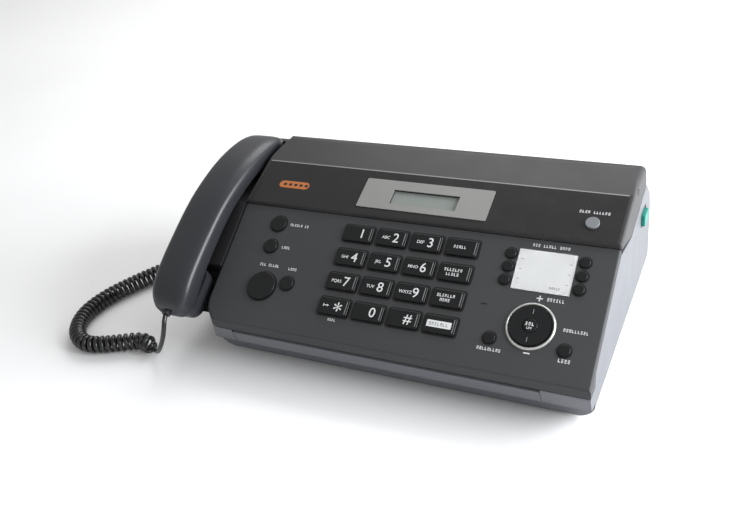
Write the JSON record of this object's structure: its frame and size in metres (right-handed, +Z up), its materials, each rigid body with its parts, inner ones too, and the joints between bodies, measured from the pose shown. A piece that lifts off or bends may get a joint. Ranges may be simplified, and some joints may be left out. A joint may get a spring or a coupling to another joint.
{
  "type": "fax machine",
  "caption": "Desktop fax machine: sloped keypad panel, hinged top cover over a thermal paper roll, and a corded handset lying in a cradle on its left side.",
  "frame": {"origin": "on the surface the machine stands on, under the middle of the machine with its handset", "axes": "+X to the user's right, +Y to the back, +Z up; the keypad faces -Y and up"},
  "size_m": [0.4677, 0.2353, 0.1217],
  "materials": {
    "cabinet_plastic": "satin gunmetal moulding",
    "panel_plastic": "fine matte texture",
    "cradle_plastic": "matte black moulding",
    "card_paper": "white printed card",
    "cover_plastic": "satin moulding",
    "band_gloss": "smooth gloss",
    "silver_plate": "silver paint",
    "lcd_glass": "display glass",
    "teal_plastic": "coloured moulding",
    "roll_paper": "thermal paper",
    "roller_rubber": "ground rubber",
    "head_metal": "plain sheet and casting",
    "gear_nylon": "nylon",
    "circuit_board": "green solder mask",
    "foot_rubber": "moulded rubber",
    "handset_plastic": "satin moulding",
    "cord_vinyl": "soft vinyl",
    "key_gloss": "gloss moulding",
    "frosted_key": "frosted moulding"
  },
  "bodies": {
    "cabinet": {"base_chassis": "cabinet_plastic", "document_exit_guide": "cabinet_plastic", "operation_panel": "panel_plastic", "handset_cradle": "cradle_plastic", "directory_card": "card_paper", "thermal_head": "head_metal", "image_sensor": "cradle_plastic", "stepper_motor": "head_metal", "circuit_boards": "circuit_board", "power_unit": "cradle_plastic", "line_jacks": "cradle_plastic", "rubber_feet": "foot_rubber", "handset_cord_coil": "cord_vinyl", "handset_cord_tail": "cord_vinyl"},
    "cover": {"top_cover": "cover_plastic", "display_band": "band_gloss", "lcd_bezel": "silver_plate", "lcd_module": "lcd_glass"},
    "handset": {"handset_back_shell": "handset_plastic", "handset_inner_shell": "handset_plastic", "handset_cord_lead": "cord_vinyl"},
    "release_lever": {"release_lever": "teal_plastic"},
    "document_guide_left": {"document_guide_left": "cradle_plastic"},
    "document_guide_right": {"document_guide_right": "cradle_plastic"},
    "paper_roll": {"paper_roll": "roll_paper"},
    "platen_roller": {"platen_roller": "roller_rubber"},
    "feed_roller": {"feed_roller": "roller_rubber"},
    "motor_pinion": {"motor_pinion": "gear_nylon"},
    "hook_switch": {"hook_switch": "cradle_plastic"},
    "auto_answer_key": {"auto_answer_key": "frosted_key"},
    "key_1": {"key_1": "key_gloss"},
    "key_2": {"key_2": "key_gloss"},
    "key_3": {"key_3": "key_gloss"},
    "key_flash": {"key_flash": "key_gloss"},
    "key_4": {"key_4": "key_gloss"},
    "key_5": {"key_5": "key_gloss"},
    "key_6": {"key_6": "key_gloss"},
    "key_redial": {"key_redial": "key_gloss"},
    "key_7": {"key_7": "key_gloss"},
    "key_8": {"key_8": "key_gloss"},
    "key_9": {"key_9": "key_gloss"},
    "key_mute": {"key_mute": "key_gloss"},
    "key_star": {"key_star": "key_gloss"},
    "key_0": {"key_0": "key_gloss"},
    "key_hash": {"key_hash": "key_gloss"},
    "key_monitor": {"key_monitor": "key_gloss"},
    "caller_id_key": {"caller_id_key": "key_gloss"},
    "stop_key": {"stop_key": "key_gloss"},
    "start_key": {"start_key": "key_gloss"},
    "copy_key": {"copy_key": "key_gloss"},
    "broadcast_key": {"broadcast_key": "key_gloss"},
    "menu_key": {"menu_key": "key_gloss"},
    "one_touch_1": {"one_touch_1": "key_gloss"},
    "one_touch_2": {"one_touch_2": "key_gloss"},
    "one_touch_3": {"one_touch_3": "key_gloss"},
    "one_touch_4": {"one_touch_4": "key_gloss"},
    "one_touch_5": {"one_touch_5": "key_gloss"},
    "one_touch_6": {"one_touch_6": "key_gloss"},
    "navigation_key": {"navigation_key": "key_gloss"},
    "set_key": {"set_key": "key_gloss"}
  },
  "joints": [
    {"name": "key_1_press", "type": "slide", "parent": "cabinet", "child": "key_1", "axis": [0, 0.5, -0.866], "range_m": [0, 0.001], "stiffness_N_per_m": 400, "springref_m": -0.0004},
    {"name": "key_2_press", "type": "slide", "parent": "cabinet", "child": "key_2", "axis": [0, 0.5, -0.866], "range_m": [0, 0.001], "stiffness_N_per_m": 400, "springref_m": -0.0004},
    {"name": "key_3_press", "type": "slide", "parent": "cabinet", "child": "key_3", "axis": [0, 0.5, -0.866], "range_m": [0, 0.001], "stiffness_N_per_m": 400, "springref_m": -0.0004},
    {"name": "key_flash_press", "type": "slide", "parent": "cabinet", "child": "key_flash", "axis": [0, 0.5, -0.866], "range_m": [0, 0.001], "stiffness_N_per_m": 400, "springref_m": -0.0004},
    {"name": "key_4_press", "type": "slide", "parent": "cabinet", "child": "key_4", "axis": [0, 0.5, -0.866], "range_m": [0, 0.001], "stiffness_N_per_m": 400, "springref_m": -0.0004},
    {"name": "key_5_press", "type": "slide", "parent": "cabinet", "child": "key_5", "axis": [0, 0.5, -0.866], "range_m": [0, 0.001], "stiffness_N_per_m": 400, "springref_m": -0.0004},
    {"name": "key_6_press", "type": "slide", "parent": "cabinet", "child": "key_6", "axis": [0, 0.5, -0.866], "range_m": [0, 0.001], "stiffness_N_per_m": 400, "springref_m": -0.0004},
    {"name": "key_redial_press", "type": "slide", "parent": "cabinet", "child": "key_redial", "axis": [0, 0.5, -0.866], "range_m": [0, 0.001], "stiffness_N_per_m": 400, "springref_m": -0.0004},
    {"name": "key_7_press", "type": "slide", "parent": "cabinet", "child": "key_7", "axis": [0, 0.5, -0.866], "range_m": [0, 0.001], "stiffness_N_per_m": 400, "springref_m": -0.0004},
    {"name": "key_8_press", "type": "slide", "parent": "cabinet", "child": "key_8", "axis": [0, 0.5, -0.866], "range_m": [0, 0.001], "stiffness_N_per_m": 400, "springref_m": -0.0004},
    {"name": "key_9_press", "type": "slide", "parent": "cabinet", "child": "key_9", "axis": [0, 0.5, -0.866], "range_m": [0, 0.001], "stiffness_N_per_m": 400, "springref_m": -0.0004},
    {"name": "key_mute_press", "type": "slide", "parent": "cabinet", "child": "key_mute", "axis": [0, 0.5, -0.866], "range_m": [0, 0.001], "stiffness_N_per_m": 400, "springref_m": -0.0004},
    {"name": "key_star_press", "type": "slide", "parent": "cabinet", "child": "key_star", "axis": [0, 0.5, -0.866], "range_m": [0, 0.001], "stiffness_N_per_m": 400, "springref_m": -0.0004},
    {"name": "key_0_press", "type": "slide", "parent": "cabinet", "child": "key_0", "axis": [0, 0.5, -0.866], "range_m": [0, 0.001], "stiffness_N_per_m": 400, "springref_m": -0.0004},
    {"name": "key_hash_press", "type": "slide", "parent": "cabinet", "child": "key_hash", "axis": [0, 0.5, -0.866], "range_m": [0, 0.001], "stiffness_N_per_m": 400, "springref_m": -0.0004},
    {"name": "key_monitor_press", "type": "slide", "parent": "cabinet", "child": "key_monitor", "axis": [0, 0.5, -0.866], "range_m": [0, 0.001], "stiffness_N_per_m": 400, "springref_m": -0.0004},
    {"name": "caller_id_key_press", "type": "slide", "parent": "cabinet", "child": "caller_id_key", "axis": [0, 0.5, -0.866], "range_m": [0, 0.001], "stiffness_N_per_m": 400, "springref_m": -0.0004},
    {"name": "stop_key_press", "type": "slide", "parent": "cabinet", "child": "stop_key", "axis": [0, 0.5, -0.866], "range_m": [0, 0.001], "stiffness_N_per_m": 400, "springref_m": -0.0004},
    {"name": "start_key_press", "type": "slide", "parent": "cabinet", "child": "start_key", "axis": [0, 0.5, -0.866], "range_m": [0, 0.001], "stiffness_N_per_m": 400, "springref_m": -0.0004},
    {"name": "copy_key_press", "type": "slide", "parent": "cabinet", "child": "copy_key", "axis": [0, 0.5, -0.866], "range_m": [0, 0.001], "stiffness_N_per_m": 400, "springref_m": -0.0004},
    {"name": "broadcast_key_press", "type": "slide", "parent": "cabinet", "child": "broadcast_key", "axis": [0, 0.5, -0.866], "range_m": [0, 0.001], "stiffness_N_per_m": 400, "springref_m": -0.0004},
    {"name": "menu_key_press", "type": "slide", "parent": "cabinet", "child": "menu_key", "axis": [0, 0.5, -0.866], "range_m": [0, 0.001], "stiffness_N_per_m": 400, "springref_m": -0.0004},
    {"name": "one_touch_1_press", "type": "slide", "parent": "cabinet", "child": "one_touch_1", "axis": [0, 0.5, -0.866], "range_m": [0, 0.001], "stiffness_N_per_m": 400, "springref_m": -0.0004},
    {"name": "one_touch_2_press", "type": "slide", "parent": "cabinet", "child": "one_touch_2", "axis": [0, 0.5, -0.866], "range_m": [0, 0.001], "stiffness_N_per_m": 400, "springref_m": -0.0004},
    {"name": "one_touch_3_press", "type": "slide", "parent": "cabinet", "child": "one_touch_3", "axis": [0, 0.5, -0.866], "range_m": [0, 0.001], "stiffness_N_per_m": 400, "springref_m": -0.0004},
    {"name": "one_touch_4_press", "type": "slide", "parent": "cabinet", "child": "one_touch_4", "axis": [0, 0.5, -0.866], "range_m": [0, 0.001], "stiffness_N_per_m": 400, "springref_m": -0.0004},
    {"name": "one_touch_5_press", "type": "slide", "parent": "cabinet", "child": "one_touch_5", "axis": [0, 0.5, -0.866], "range_m": [0, 0.001], "stiffness_N_per_m": 400, "springref_m": -0.0004},
    {"name": "one_touch_6_press", "type": "slide", "parent": "cabinet", "child": "one_touch_6", "axis": [0, 0.5, -0.866], "range_m": [0, 0.001], "stiffness_N_per_m": 400, "springref_m": -0.0004},
    {"name": "navigation_key_press", "type": "slide", "parent": "cabinet", "child": "navigation_key", "axis": [0, 0.5, -0.866], "range_m": [0, 0.001], "stiffness_N_per_m": 400, "springref_m": -0.0004},
    {"name": "set_key_press", "type": "slide", "parent": "cabinet", "child": "set_key", "axis": [0, 0.5, -0.866], "range_m": [0, 0.001], "stiffness_N_per_m": 400, "springref_m": -0.0004},
    {"name": "auto_answer_key_press", "type": "slide", "parent": "cover", "child": "auto_answer_key", "axis": [0, 0.3227, -0.9465], "range_m": [0, 0.001], "stiffness_N_per_m": 400, "springref_m": -0.0004},
    {"name": "cover_hinge", "type": "hinge", "parent": "cabinet", "child": "cover", "pos_m": [0, 0.085, 0.0975], "axis": [-1, 0, 0], "range_deg": [0, 60]},
    {"name": "handset_lift", "type": "slide", "parent": "cabinet", "child": "handset", "axis": [0, -0.5, 0.866], "range_m": [0, 0.12]},
    {"name": "hook_switch_rise", "type": "slide", "parent": "cabinet", "child": "hook_switch", "axis": [0, 0, 1], "range_m": [0, 0.003]},
    {"name": "release_lever_push", "type": "slide", "parent": "cabinet", "child": "release_lever", "axis": [0, 1, 0], "range_m": [0, 0.003], "stiffness_N_per_m": 300, "springref_m": -0.0005},
    {"name": "guide_left_slide", "type": "slide", "parent": "cabinet", "child": "document_guide_left", "axis": [1, 0, 0], "range_m": [0, 0.04]},
    {"name": "guide_right_slide", "type": "slide", "parent": "cabinet", "child": "document_guide_right", "axis": [-1, 0, 0], "range_m": [0, 0.04]},
    {"name": "paper_roll_spin", "type": "hinge", "parent": "cabinet", "child": "paper_roll", "pos_m": [0, 0.056, 0.066], "axis": [1, 0, 0], "continuous": true},
    {"name": "platen_spin", "type": "hinge", "parent": "cover", "child": "platen_roller", "pos_m": [0, 0.016, 0.092], "axis": [1, 0, 0], "continuous": true},
    {"name": "feed_roller_spin", "type": "hinge", "parent": "cabinet", "child": "feed_roller", "pos_m": [0, -0.036, 0.0495], "axis": [1, 0, 0], "continuous": true},
    {"name": "motor_pinion_spin", "type": "hinge", "parent": "cabinet", "child": "motor_pinion", "pos_m": [0, -0.036, 0.0305], "axis": [1, 0, 0], "continuous": true}
  ],
  "couplings": [
    {"joint": "motor_pinion_spin", "follows": "feed_roller_spin", "ratio": -2.8},
    {"joint": "guide_right_slide", "follows": "guide_left_slide", "ratio": 1},
    {"joint": "hook_switch_rise", "follows": "handset_lift", "ratio": 0.025}
  ]
}
